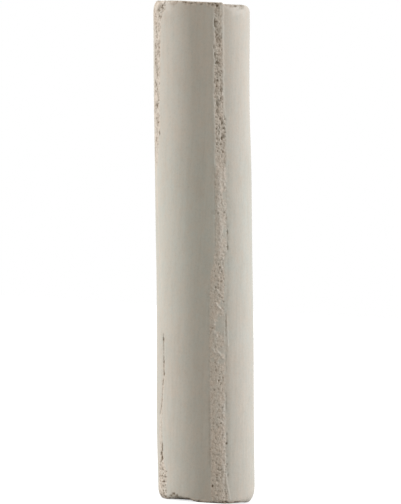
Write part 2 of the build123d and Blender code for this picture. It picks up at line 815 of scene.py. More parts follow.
@dataclass(frozen=True)
class ChalkFinish:
    """Dry pressed chalk: a smooth, faintly mottled skin, bare pinker grain, and brown dirt and painted
    shade in the pits.

    Attributes:
        grey: colour of the skin where it is greyest.
        pink: colour of the skin where it is pinkest.
        shade: colour of the skin where it is darkest.
        grain: colour of bare grain.
        rubbed_and_highlight: colour of freshly rubbed chalk, which also paints highlights on flakes, ridges
            and the crown's rim.
        dirt_and_pit_shade: colour at the bottom of a pit, standing for dirt and for painted shade there.
        cool: cast of the patches that look greener, over all the colours above.
        warm: cast of the patches that look redder.
        blotches: the darker patches of the skin.
        blotch_level: how high their noise is where they begin.
        blotching: how strongly they darken the skin.
        streaks: the darker streaks up the skin.
        streaking: how strongly they darken it.
        clouds: the patches of either cast.
        clouding: how sharply one cast turns into the other.
        dust: the finest grain.
        dusting: how strongly a colour covers the skin at the least dust, and how much more at the most.
        speck_level: how high the dust is where it begins to speck the skin with dirt.
        specking: how strongly it specks the smooth skin, and how much more the bare grain.
        dust_relief: how far the dust stands out of the smooth skin, and how much more on the bare grain.
        streak_relief: how far the streaks stand out.
        bump: how strongly that relief is felt.
        bump_height: its height.
        roughness: of the whole surface.
        gloss: specular level of the whole surface.
    """

    grey: Colour = (0.552, 0.531, 0.465)
    pink: Colour = (0.572, 0.522, 0.452)
    shade: Colour = (0.500, 0.465, 0.400)
    grain: Colour = (0.658, 0.580, 0.493)
    rubbed_and_highlight: Colour = (0.680, 0.620, 0.550)
    dirt_and_pit_shade: Colour = (0.145, 0.106, 0.066)
    cool: Colour = (0.975, 1.005, 1.01)
    warm: Colour = (1.03, 0.99, 0.96)
    blotches: Mottle = Mottle(3.4, 5.0, 2.2, 0.85)
    blotch_level: float = 0.45
    blotching: float = 2.0
    streaks: Mottle = Mottle(0.30, 2.0, 22.0)
    streaking: float = 1.2
    clouds: Mottle = Mottle(1.9, 4.0, 1.5, 0.95)
    clouding: float = 4.0
    dust: Mottle = Mottle(0.28, 2.0, gain=0.9)
    dusting: tuple[float, float] = (0.6, 0.8)
    speck_level: float = 0.46
    specking: tuple[float, float] = (0.36, 0.95)
    dust_relief: tuple[float, float] = (0.5, 1.4)
    streak_relief: float = 0.25
    bump: float = 0.4
    bump_height: float = 0.06
    roughness: float = 0.90
    gloss: float = 0.12

    def make(self, name: str) -> bpy.types.Material:
        """Build the material.

        Each colour in turn covers the ones before it, by the mark that it belongs to. The dust makes that
        cover uneven, and specks the whole skin with dirt, bare grain the most. The cast comes last.

        Args:
            name: what it is called.

        Returns:
            The material.
        """
        material = bpy.data.materials.new(name)
        graph = Graph(material)
        raw, pit_shade_and_dirt, fresh_and_highlight, blush, dull = (graph.mark(mark) for mark in Skin.MARKS)
        blotches, streaks = graph.mottle(self.blotches), graph.mottle(self.streaks)
        clouds, dust = graph.mottle(self.clouds), graph.mottle(self.dust)
        cover = self.dusting[0] + dust * self.dusting[1]
        specks = (dust - self.speck_level) * (self.specking[0] + raw * self.specking[1])

        skin = graph.tint(blush, opaque(self.grey), opaque(self.pink))
        streaked = (streaks - 0.5) * self.streaking
        # darker towards the foot, where the tones say, and in random blotches and streaks
        darkening = dull + (blotches - self.blotch_level) * self.blotching + streaked
        clean = graph.tint(darkening, skin, opaque(self.shade))
        bare = graph.tint(raw * cover, clean, opaque(self.grain))
        # paler where freshly rubbed, with painted highlight on flakes, ridges and the crown's rim
        pale = graph.tint(fresh_and_highlight * cover, bare, opaque(self.rubbed_and_highlight))
        # the pits' mark darkens towards the dark colour: dirt and painted shade; the dust specks are dirt
        dirty_and_shaded = graph.tint(pit_shade_and_dirt * cover + specks, pale, opaque(self.dirt_and_pit_shade))
        cast = graph.tint(0.5 + (clouds - 0.5) * self.clouding, opaque(self.cool), opaque(self.warm))
        chalk = graph.tint(1.0, dirty_and_shaded, cast, "MULTIPLY")

        relief = dust * (self.dust_relief[0] + raw * self.dust_relief[1]) + streaks * self.streak_relief
        felt = {"Strength": self.bump, "Distance": self.bump_height * MM, "Height": relief}
        bump = graph.node("ShaderNodeBump", values=felt)
        shader = graph.node(
            "ShaderNodeBsdfPrincipled",
            values={
                "Base Color": chalk,
                "Roughness": self.roughness,
                "Specular IOR Level": self.gloss,
                "Normal": bump,
            },
        )
        graph.end(shader)
        return material


# Each station: height, left, right, torn, soil, left lip, right lip, step
FRONT_STRIP = RoughStrip(
    stations=(
        Station(0.0, 4.8, 28.0, 0.75, 0.14),
        Station(2.6, 4.8, 24.8, 0.80, 0.12),
        Station(7.0, 4.8, 24.4, 0.75, 0.08),
        Station(14.0, 4.8, 24.0, 0.65, 0.08),
        Station(20.0, 4.8, 24.3, 0.55, 0.05),
        Station(25.0, 5.2, 24.2, 0.65, 0.04),
        Station(28.0, 5.7, 24.4, 0.85, 0.06),
        Station(30.0, 8.0, 25.0, 0.75, 0.06, 0.0, 0.01),
        Station(31.5, 11.5, 26.0, 0.60, 0.06, 0.0, 0.01),
        Station(33.2, 13.2, 28.6, 0.45, 0.05, 0.0, 0.01, 0.01),
        Station(41.5, 13.4, 28.8, 0.50, 0.06, 0.0, 0.01, 0.01),
        Station(43.5, 13.6, 28.0, 0.70, 0.0, 0.05, 0.0, 0.02),
        Station(47.0, 14.2, 28.5, 0.90, 0.10, 0.05, 0.0, 0.02),
        Station(49.5, 14.2, 28.3, 0.90, 0.22, 0.07),
        Station(50.5, 14.0, 25.5, 0.95, 0.45, 0.07, 0.01, 0.04),
        Station(53.0, 13.4, 25.0, 0.90, 0.58, 0.06, 0.02, 0.05),
        Station(57.0, 14.2, 25.0, 0.80, 0.60, 0.06, 0.02, 0.05),
        Station(61.0, 14.5, 25.0, 0.65, 0.48, 0.05, 0.02, 0.05),
        Station(64.5, 14.6, 25.1, 0.45, 0.40, 0.0, 0.0, 0.05),
    ),
    sink=0.02,
    tear=0.050,
    pitting=0.05,
    spread=1.0,
    seed=11,
)

SIDE_STRIP = RoughStrip(
    stations=(
        Station(0.0, -78.0, -54.0, 1.60, 0.25),
        Station(3.5, -78.0, -54.0, 1.60, 0.35),
        Station(4.8, -76.0, -60.0, 0.70, 0.30),
        Station(5.8, -72.0, -62.0, 0.40, 0.20),
        Station(8.0, -74.0, -63.0, 0.25, 0.15),
        Station(11.5, -70.0, -62.0, 0.25, 0.15),
        Station(16.0, -61.0, -56.5, 0.30, 0.15),
        Station(20.0, -60.5, -57.0, 0.20, 0.05),
        Station(22.0, -58.8, -58.4, 0.0, 0.0),
        Station(42.0, -80.0, -72.0, 0.0, 0.0),
        Station(44.0, -84.0, -67.0, 0.40, 0.25),
        Station(48.0, -83.0, -62.0, 0.70, 0.40),
        Station(54.0, -78.0, -60.0, 0.80, 0.55),
        Station(56.0, -77.0, -59.0, 0.80, 0.60),
        Station(60.0, -77.0, -57.5, 0.80, 0.55),
        Station(62.2, -79.0, -56.0, 1.10, 0.50),
        Station(63.0, -85.0, -49.0, 1.20, 0.40),
        Station(64.5, -88.0, -46.0, 1.20, 0.50),
    ),
    sink=0.02,
    tear=0.050,
    pitting=0.06,
    spread=1.7,
    seed=23,
)

# Each station: angle, wall, face, lift, broken, soil, fresh. The fresh band is freshly rubbed chalk with
# painted highlight.
CROWN_EDGE = EndEdge(
    stations=(
        EdgeStation(-180.0, 0.60, 0.60),
        EdgeStation(-110.0, 0.90, 0.55, 0.00, 0.2, 0.2),
        EdgeStation(-90.0, 1.70, 0.55, 0.00, 0.4, 0.3),
        EdgeStation(-80.0, 1.60, 0.55, 0.00, 0.5, 0.4),
        EdgeStation(-62.0, 1.00, 0.48, 0.05, 0.6, 0.4, 0.1),
        EdgeStation(-48.0, 0.40, 0.30, 0.08, 0.7, 0.4, 0.8),
        EdgeStation(-42.0, 0.25, 0.25, 0.06, 0.6, 0.6, 0.6),
        EdgeStation(-33.0, 0.22, 0.22, 0.05, 0.6, 0.7),
        EdgeStation(-25.0, 0.22, 0.22, 0.07, 0.7, 0.7),
        EdgeStation(-10.0, 0.22, 0.22, 0.08, 0.7, 0.7),
        EdgeStation(10.0, 0.22, 0.22, 0.03, 0.6, 0.7),
        EdgeStation(15.0, 0.20, 0.20, 0.00, 0.4, 0.8),
        EdgeStation(25.5, 0.20, 0.20, -0.04, 0.3, 0.9),
        EdgeStation(28.5, 0.30, 0.20, 0.16, 0.3, 0.6, 0.6),
        EdgeStation(35.0, 0.55, 0.20, 0.13, 0.2, 0.7, 0.7),
        EdgeStation(45.0, 0.65, 0.20, 0.08, 0.2, 0.9, 0.6),
        EdgeStation(58.0, 0.70, 0.22, -0.02, 0.2, 0.7, 0.5),
        EdgeStation(66.0, 0.72, 0.30, -0.03, 0.1, 0.2, 0.2),
        EdgeStation(88.0, 0.78, 0.48, 0.00, 0.0, 0.0),
        EdgeStation(112.0, 0.90, 0.60, 0.00, 0.0, 0.0),
        EdgeStation(140.0, 0.70, 0.60),
    ),
    chip=0.12,
    soil_band=0.58,
    fresh_band=1.6,
    seed=37,
)

FOOT_EDGE = EndEdge(
    stations=(
        EdgeStation(-180.0, 0.60, 0.60),
        EdgeStation(-110.0, 1.00, 0.80, 0.00, 0.2, 0.2),
        EdgeStation(-85.0, 1.32, 0.66, 0.00, 0.3, 0.2),
        EdgeStation(-70.0, 1.05, 0.60, 0.00, 0.5, 0.4),
        EdgeStation(-60.0, 0.70, 0.50, 0.02, 0.9, 0.9),
        EdgeStation(-50.0, 0.45, 0.40, 0.14, 1.0, 1.0),
        EdgeStation(-40.0, 0.35, 0.35, 0.32, 1.0, 1.0),
        EdgeStation(-33.0, 0.30, 0.30, 0.45, 0.9, 0.9),
        EdgeStation(-24.0, 0.30, 0.30, 0.28, 0.8, 0.8),
        EdgeStation(-19.0, 0.30, 0.30, 0.16, 0.8, 0.8),
        EdgeStation(-14.0, 0.28, 0.28, 0.04, 0.5, 0.5),
        EdgeStation(-5.0, 0.25, 0.25, 0.00, 0.4, 0.5),
        EdgeStation(8.0, 0.25, 0.25, 0.00, 0.4, 0.6),
        EdgeStation(16.0, 0.30, 0.30, -0.02, 0.5, 0.7),
        EdgeStation(22.0, 0.35, 0.30, -0.02, 0.5, 0.9),
        EdgeStation(30.0, 0.35, 0.30, 0.06, 0.5, 0.8),
        EdgeStation(40.0, 0.40, 0.35, 0.15, 0.6, 0.8),
        EdgeStation(50.0, 0.60, 0.45, 0.22, 0.3, 0.4),
        EdgeStation(62.0, 1.20, 0.70, 0.19, 0.1, 0.1),
        EdgeStation(88.0, 2.30, 1.30, 0.00, 0.0, 0.0),
        EdgeStation(130.0, 0.80, 0.70),
    ),
    chip=0.15,
    soil_band=0.45,
    fresh_band=1.0,
    seed=41,
)

# Each mark: angle, height, length, width, depth, stain, turn. The first few are the slow hollows and
# swellings of the outline at the two sides. A stain darkens a dent's middle with dirt and painted shade.
HOLLOWS = (
    Mark(-90.0, 52.0, 8.0, 3.6, -0.04, ragged=0.0),
    Mark(-90.0, 27.0, 7.0, 3.0, 0.06, ragged=0.0),
    Mark(-90.0, 10.0, 7.0, 3.0, -0.10, ragged=0.0),
    Mark(88.0, 52.8, 7.5, 3.0, 0.15, ragged=0.0),
    Mark(88.0, 22.0, 9.0, 3.0, -0.05, ragged=0.0),
)

# Each island: angle, height, length, width
ISLANDS = (
    Island(25.8, 39.6, 0.60, 0.30),
    Island(25.8, 34.9, 0.75, 0.28),
    Island(20.6, 25.6, 0.40, 0.34),
    Island(19.2, 23.0, 1.30, 0.66),
    Island(21.2, 19.7, 0.50, 0.60),
    Island(19.4, 18.3, 0.45, 0.44),
    Island(8.5, 18.4, 0.28, 0.30),
)

FRONT_DENTS = (
    Mark(18.8, 64.0, 0.22, 0.20, 0.08, 0.9),
    Mark(16.5, 61.4, 0.25, 0.14, 0.05, 0.4, 20.0),
    Mark(18.5, 60.9, 0.28, 0.12, 0.08, 0.6, -10.0),
    Mark(16.5, 60.5, 0.12, 0.13, 0.05, 0.5),
    Mark(21.5, 61.0, 0.30, 0.25, 0.03, 0.35),
    Mark(17.6, 59.6, 0.30, 0.20, 0.06, 0.45),
    Mark(21.0, 58.9, 0.30, 0.16, 0.05, 0.45),
    Mark(16.2, 56.55, 0.12, 0.16, 0.07, 0.7),
    Mark(18.0, 54.4, 0.15, 0.14, 0.09, 0.85),
    Mark(17.0, 53.65, 0.18, 0.10, 0.08, 0.75),
    Mark(15.0, 52.9, 0.16, 0.10, 0.05, 0.5),
    Mark(16.8, 51.4, 0.15, 0.12, 0.07, 0.6),
    Mark(16.9, 50.5, 0.19, 0.12, 0.06, 0.55),
    Mark(21.0, 49.5, 0.22, 0.14, 0.08, 0.75),
    Mark(23.2, 48.95, 0.20, 0.13, 0.09, 0.95),
    Mark(25.7, 48.3, 0.13, 0.11, 0.07, 0.7),
    Mark(16.2, 48.15, 0.14, 0.09, 0.06, 0.6, 15.0),
    Mark(18.8, 47.5, 0.14, 0.09, 0.06, 0.6),
    Mark(22.8, 47.6, 0.12, 0.10, 0.06, 0.55),
    Mark(25.0, 47.2, 0.30, 0.28, 0.03, 0.45),
    Mark(22.8, 47.0, 0.24, 0.13, 0.12, 1.0),
    Mark(16.4, 46.95, 0.12, 0.13, 0.07, 0.7),
    Mark(16.5, 46.2, 0.13, 0.13, 0.07, 0.7),
    Mark(21.4, 46.2, 0.15, 0.14, 0.08, 0.8),
    Mark(22.7, 45.5, 0.14, 0.09, 0.06, 0.5),
    Mark(23.8, 45.25, 0.13, 0.12, 0.08, 0.85),
    Mark(17.5, 45.3, 0.12, 0.11, 0.05, 0.6),
    Mark(25.2, 40.55, 0.15, 0.10, 0.05, 0.4, -15.0),
    Mark(24.6, 37.45, 0.15, 0.13, 0.07, 0.65),
    Mark(17.0, 37.35, 0.20, 0.13, 0.06, 0.5, 20.0),
    Mark(11.5, 37.35, 0.30, 0.35, 0.01, 0.15),
    Mark(17.2, 30.75, 0.14, 0.11, 0.06, 0.55),
    Mark(18.7, 30.35, 0.15, 0.13, 0.06, 0.5),
    Mark(20.8, 29.85, 0.13, 0.11, 0.06, 0.55),
    Mark(23.0, 28.95, 0.14, 0.15, 0.05, 0.45),
    Mark(20.4, 28.6, 0.12, 0.11, 0.05, 0.5),
    Mark(13.3, 27.75, 0.12, 0.15, 0.07, 0.6),
    Mark(9.3, 22.5, 0.12, 0.17, 0.05, 0.4),
    Mark(12.5, 17.1, 0.20, 0.14, 0.06, 0.5),
    Mark(20.7, 16.2, 0.12, 0.10, 0.06, 0.5),
    Mark(15.9, 15.8, 0.14, 0.10, 0.09, 0.8),
    Mark(17.5, 15.3, 0.13, 0.11, 0.06, 0.5),
    Mark(14.0, 11.1, 0.11, 0.11, 0.05, 0.5),
    Mark(15.8, 11.05, 0.11, 0.09, 0.05, 0.5),
    Mark(21.3, 11.05, 0.11, 0.10, 0.05, 0.45),
    Mark(18.0, 10.3, 0.11, 0.11, 0.06, 0.6),
    Mark(12.8, 10.1, 0.16, 0.10, 0.05, 0.5),
    Mark(15.0, 9.8, 0.14, 0.09, 0.05, 0.5),
    Mark(11.3, 9.05, 0.12, 0.13, 0.05, 0.5),
    Mark(24.7, 7.75, 0.16, 0.15, 0.10, 0.95),
    Mark(25.0, 6.15, 0.14, 0.08, 0.05, 0.5),
    Mark(25.0, 5.1, 0.12, 0.13, 0.06, 0.55),
    Mark(26.0, 3.65, 0.22, 0.08, 0.06, 0.5),
    Mark(7.2, 2.2, 0.18, 0.12, 0.13, 1.0),
)

FRONT_FLAKES = (
    Mark(14.2, 60.3, 0.16, 0.09, -0.05),
    Mark(20.3, 53.5, 0.15, 0.08, -0.05),
    Mark(24.0, 52.75, 0.16, 0.10, -0.05),
    Mark(19.6, 52.0, 0.20, 0.08, -0.05),
    Mark(19.0, 48.15, 0.16, 0.10, -0.06),
    Mark(17.5, 48.2, 0.14, 0.08, -0.05),
    Mark(17.5, 47.45, 0.12, 0.10, -0.06),
    Mark(20.7, 46.75, 0.12, 0.15, -0.05),
    Mark(20.8, 33.05, 0.24, 0.08, -0.06),
    Mark(22.3, 31.5, 0.22, 0.10, -0.06),
    Mark(20.8, 30.3, 0.21, 0.09, -0.05),
    Mark(22.4, 28.7, 0.14, 0.08, -0.06),
    Mark(17.5, 28.6, 0.15, 0.09, -0.05),
    Mark(14.0, 15.7, 0.12, 0.08, -0.05),
    Mark(19.0, 10.45, 0.11, 0.10, -0.07),
)

# Each crease: the angle and height of its points, width, depth, stain. A stain darkens a groove's middle
# with dirt and painted shade.
FRONT_CREASES = (
    Crease(((15.2, 62.3), (15.2, 61.3)), 0.08, 0.10, 0.7),
    Crease(((15.0, 57.9), (15.1, 57.3)), 0.09, 0.11, 0.9),
    Crease(((13.6, 58.9), (13.6, 58.5)), 0.07, 0.06, 0.4),
    Crease(((18.5, 64.1), (18.2, 63.4), (21.5, 62.6)), 0.20, 0.02, 0.40),
    Crease(((19.0, 57.1), (17.3, 56.7), (15.6, 56.55)), 0.11, 0.05, 0.5),
    Crease(((16.9, 43.1), (19.4, 42.6), (18.5, 41.8), (19.5, 40.8), (19.1, 40.2)), 0.28, -0.045),
    Crease(
        ((19.1, 40.2), (17.9, 39.5), (17.7, 38.6), (16.8, 37.8), (19.8, 36.5), (20.1, 35.0)), 0.27, -0.045
    ),
    Crease(((19.4, 34.5), (18.6, 33.2), (19.5, 31.6)), 0.20, -0.025),
    Crease(((24.0, 49.5), (24.4, 47.0), (25.4, 45.0), (25.0, 43.6)), 0.26, 0.02, 0.32),
    Crease(((22.0, 30.0), (21.5, 22.0), (21.0, 13.5)), 0.42, 0.0, 0.10),
    Crease(((21.4, 13.0), (21.0, 2.5)), 0.24, -0.025),
    # a faint band of painted shade right of the front strip, on a shallow groove
    Crease(((30.0, 43.5), (29.6, 36.0), (27.2, 27.0)), 0.30, 0.015, 0.07),
    Crease(((26.4, 27.0), (25.8, 14.0), (25.2, 3.5)), 0.34, 0.01, 0.13),
    Crease(((13.1, 43.0), (13.1, 32.0)), 0.10, 0.02, 0.15),
    # a band of painted shade, with no depth, over the strip's bed left of its ridge
    Crease(((15.0, 43.0), (15.0, 33.0)), 0.35, 0.0, 0.10),
    Crease(((5.9, 16.0), (5.9, 4.5)), 0.10, -0.03),
    Crease(((25.9, 43.2), (25.7, 42.0), (26.1, 40.5)), 0.16, -0.03),
    Crease(((27.4, 37.2), (28.2, 35.6)), 0.22, 0.02, 0.18),
    Crease(((28.6, 35.6), (28.6, 32.6)), 0.10, 0.04, 0.30),
    Crease(((28.6, 35.2), (28.6, 34.9)), 0.08, 0.06, 0.5),
    Crease(((28.6, 33.1), (28.7, 32.7)), 0.08, 0.08, 0.6),
    Crease(((14.4, 27.4), (18.1, 26.8)), 0.12, -0.04),
    Crease(((13.0, 25.7), (15.5, 25.4), (18.5, 25.1), (20.9, 24.85)), 0.12, -0.06),
    Crease(((10.9, 23.5), (10.9, 22.9)), 0.12, -0.05),
    Crease(((9.0, 22.2), (11.0, 21.9), (14.0, 21.5)), 0.14, -0.05),
    Crease(((8.2, 19.9), (12.0, 19.3), (15.3, 19.4), (20.5, 18.8)), 0.12, -0.05),
    Crease(((25.2, 24.3), (25.0, 21.6)), 0.08, 0.03, 0.25),
    Crease(((25.0, 19.2), (24.8, 17.0)), 0.08, 0.03, 0.25),
    Crease(((27.0, 24.0), (27.8, 21.5), (28.0, 20.3)), 0.12, -0.03),
    Crease(((4.8, 28.0), (4.6, 20.0), (4.2, 13.5)), 0.12, 0.02, 0.12),
    Crease(((4.2, 13.5), (4.3, 9.0), (4.4, 4.5)), 0.14, 0.03, 0.22),
    Crease(((24.6, 14.2), (24.3, 12.0)), 0.10, 0.03, 0.30),
    Crease(((24.9, 9.0), (25.0, 8.0)), 0.09, 0.06, 0.5),
    Crease(((8.0, 6.3), (11.0, 6.2), (15.5, 6.25)), 0.10, 0.07, 0.7),
    Crease(((11.5, 5.15), (13.5, 5.0), (16.0, 4.85)), 0.09, 0.05, 0.5),
    Crease(((14.2, 4.65), (14.0, 4.4), (16.0, 4.25), (18.2, 4.4)), 0.09, 0.05, 0.5),
    Crease(((12.0, 3.65), (13.8, 3.65)), 0.07, 0.06, 0.6),
    Crease(((15.5, 3.75), (18.5, 3.75)), 0.07, 0.05, 0.5),
    Crease(((15.5, 3.50), (18.5, 3.50)), 0.07, 0.05, 0.5),
    Crease(((12.2, 3.35), (13.8, 3.35)), 0.07, 0.05, 0.5),
    Crease(((12.2, 3.12), (13.8, 3.10)), 0.07, 0.05, 0.5),
    Crease(((12.2, 2.88), (13.8, 2.85)), 0.07, 0.05, 0.5),
    Crease(((22.4, 3.2), (23.0, 0.6)), 0.14, 0.02, 0.30),
    Crease(((23.4, 3.9), (24.8, 2.5), (26.8, 1.5), (28.5, 0.6)), 0.12, -0.03),
)

SIDE_DENTS = (
    Mark(-77.5, 63.1, 0.25, 0.25, 0.08, 0.9),
    Mark(-57.2, 62.2, 0.20, 0.15, 0.09, 0.8, 20.0),
    Mark(-62.2, 61.2, 0.40, 0.18, 0.03, 0.5),
    Mark(-70.2, 60.4, 0.25, 0.22, 0.03, 0.5),
    Mark(-60.1, 59.0, 0.22, 0.20, 0.04, 0.5),
    Mark(-70.8, 58.35, 0.22, 0.24, 0.05, 0.65),
    Mark(-67.6, 57.5, 0.32, 0.20, 0.04, 0.5),
    Mark(-61.5, 57.3, 0.28, 0.16, 0.05, 0.55),
    Mark(-72.1, 56.85, 0.30, 0.28, 0.05, 0.7),
    Mark(-71.0, 55.6, 0.55, 0.22, 0.04, 0.5),
    Mark(-71.2, 53.5, 0.28, 0.42, 0.05, 0.75),
    Mark(-69.1, 50.85, 0.40, 0.42, 0.06, 0.8),
    Mark(-71.3, 49.2, 0.22, 0.30, 0.04, 0.6),
    Mark(-63.3, 47.25, 0.33, 0.15, 0.08, 0.9),
    Mark(-73.5, 46.4, 0.32, 0.24, 0.06, 0.75),
    Mark(-80.8, 45.0, 0.45, 0.30, 0.02, 0.4),
    Mark(-58.7, 20.65, 0.30, 0.17, 0.09, 1.0),
    Mark(-58.4, 17.7, 0.20, 0.16, 0.08, 0.95),
    Mark(-58.0, 16.2, 0.22, 0.16, 0.09, 0.9),
    Mark(-61.6, 14.7, 0.15, 0.13, 0.05, 0.5),
    Mark(-67.6, 5.8, 0.26, 0.30, 0.14, 1.0, ragged=0.2),
    Mark(-65.6, 5.2, 0.26, 0.22, 0.14, 1.0, ragged=0.2),
    Mark(-69.5, 4.75, 0.17, 0.22, 0.05, 0.6),
    Mark(-72.3, 4.25, 0.11, 0.18, 0.05, 0.6),
    Mark(-66.8, 4.05, 0.09, 0.16, 0.06, 0.75),
    Mark(-73.2, 3.85, 0.16, 0.22, 0.08, 0.95),
    Mark(-65.3, 3.75, 0.11, 0.16, 0.06, 0.75),
    Mark(-73.6, 2.8, 0.45, 0.26, 0.03, 0.5),
    Mark(-65.0, 2.9, 0.22, 0.16, 0.04, 0.5),
    Mark(-58.1, 2.9, 0.18, 0.13, 0.04, 0.5),
    Mark(-63.2, 2.3, 0.25, 0.14, 0.04, 0.5),
    Mark(-68.6, 1.9, 0.16, 0.18, 0.04, 0.5),
    Mark(-65.8, 1.65, 0.14, 0.16, 0.04, 0.55),
    Mark(-58.3, 1.75, 0.16, 0.13, 0.04, 0.5),
)

SIDE_FLAKES = (
    Mark(-48.6, 63.85, 0.14, 0.15, -0.05),
    Mark(-54.0, 63.5, 0.10, 0.13, -0.04),
    Mark(-67.0, 63.4, 0.14, 0.20, -0.04),
    Mark(-66.7, 4.36, 0.12, 0.22, -0.06),
    Mark(-61.0, 4.15, 0.12, 0.16, -0.04),
)

SIDE_CREASES = (
    Crease(((-49.5, 64.15), (-50.2, 63.85)), 0.14, 0.08, 0.9),
    Crease(((-53.0, 63.78), (-56.5, 63.55), (-60.2, 63.3), (-64.0, 63.05)), 0.13, 0.09, 0.8),
    Crease(((-58.8, 21.3), (-58.7, 20.6), (-58.5, 19.2), (-58.9, 18.5), (-58.4, 17.7)), 0.11, 0.06, 0.6),
    Crease(((-58.4, 17.7), (-58.9, 17.0), (-58.0, 16.2), (-59.8, 15.4), (-61.6, 14.7)), 0.11, 0.06, 0.6),
    Crease(((-61.6, 14.7), (-62.8, 13.6), (-64.2, 12.5), (-66.0, 11.8), (-69.2, 11.0)), 0.14, 0.05, 0.5),
    Crease(((-64.2, 12.5), (-64.0, 11.0), (-65.5, 9.5), (-64.6, 7.3), (-64.7, 6.4)), 0.11, 0.04, 0.3),
    Crease(((-64.6, 7.2), (-64.7, 6.3), (-67.6, 5.8), (-65.6, 5.2), (-68.0, 4.8)), 0.17, 0.10, 1.0),
)

END_DENTS = (
    Mark(-60.5, 0.35, 0.16, 0.30, 0.06, 0.9),
    Mark(-42.7, 0.80, 0.18, 0.24, 0.10, 1.0),
    Mark(-46.6, 0.55, 0.14, 0.30, 0.04, 0.8),
    Mark(-38.0, 0.65, 0.20, 0.20, 0.06, 0.8),
    Mark(-22.0, 0.35, 0.12, 0.30, 0.08, 1.0),
    Mark(23.0, 0.25, 0.14, 0.35, 0.03, 0.7),
    Mark(38.5, 0.25, 0.12, 0.27, 0.08, 1.0),
    Mark(-19.5, 64.20, 0.12, 0.26, 0.05, 1.0),
    Mark(-17.8, 64.00, 0.12, 0.14, 0.05, 0.8),
    Mark(-12.5, 64.10, 0.13, 0.22, 0.07, 1.0),
    Mark(0.0, 64.05, 0.12, 0.12, 0.03, 0.6),
    Mark(38.0, 63.95, 0.10, 0.10, 0.03, 0.5),
    Mark(45.0, 64.15, 0.12, 0.32, 0.04, 0.9),
    Mark(58.0, 64.20, 0.12, 0.22, 0.05, 0.8),
)

FRONT_FEATURES = ISLANDS + FRONT_DENTS + FRONT_FLAKES + FRONT_CREASES
SIDE_FEATURES = SIDE_DENTS + SIDE_FLAKES + SIDE_CREASES
FEATURES = HOLLOWS + FRONT_FEATURES + SIDE_FEATURES + END_DENTS


@dataclass(frozen=True)
class Tone:
    """The colour of the smooth skin at one height.

    Attributes:
        height: above the foot.
        blush: 0 where it is at its greyest, 1 where it is at its pinkest.
        dull: 0 where it is at its lightest, 1 where it is at its darkest.
    """

    height: float
    blush: float
    dull: float


TONES = (
    Tone(0.0, 0.7, 0.24),
    Tone(8.0, 0.6, 0.20),
    Tone(16.0, 0.8, 0.20),
    Tone(23.0, 0.4, 0.10),
    Tone(32.0, 0.1, 0.08),
    Tone(42.0, 0.2, 0.08),
    Tone(48.0, 0.7, 0.03),
    Tone(64.0, 0.9, 0.00),
)


@dataclass(frozen=True)
class Crowd:
    """A stretch of angles in which the grid's columns are denser.

    Attributes:
        extra: how much denser they are.
        start: where they begin to be denser.
        full: where they have become as dense as they get.
        fade: where they begin to thin out.
        end: where they have thinned out.
    """

    extra: float
    start: float
    full: float
    fade: float
    end: float

    def at(self, angle: Array) -> Array:
        """How much denser the columns are at some angles."""
        return self.extra * (ease(self.start, self.full, angle) * ease(self.end, self.fade, angle))


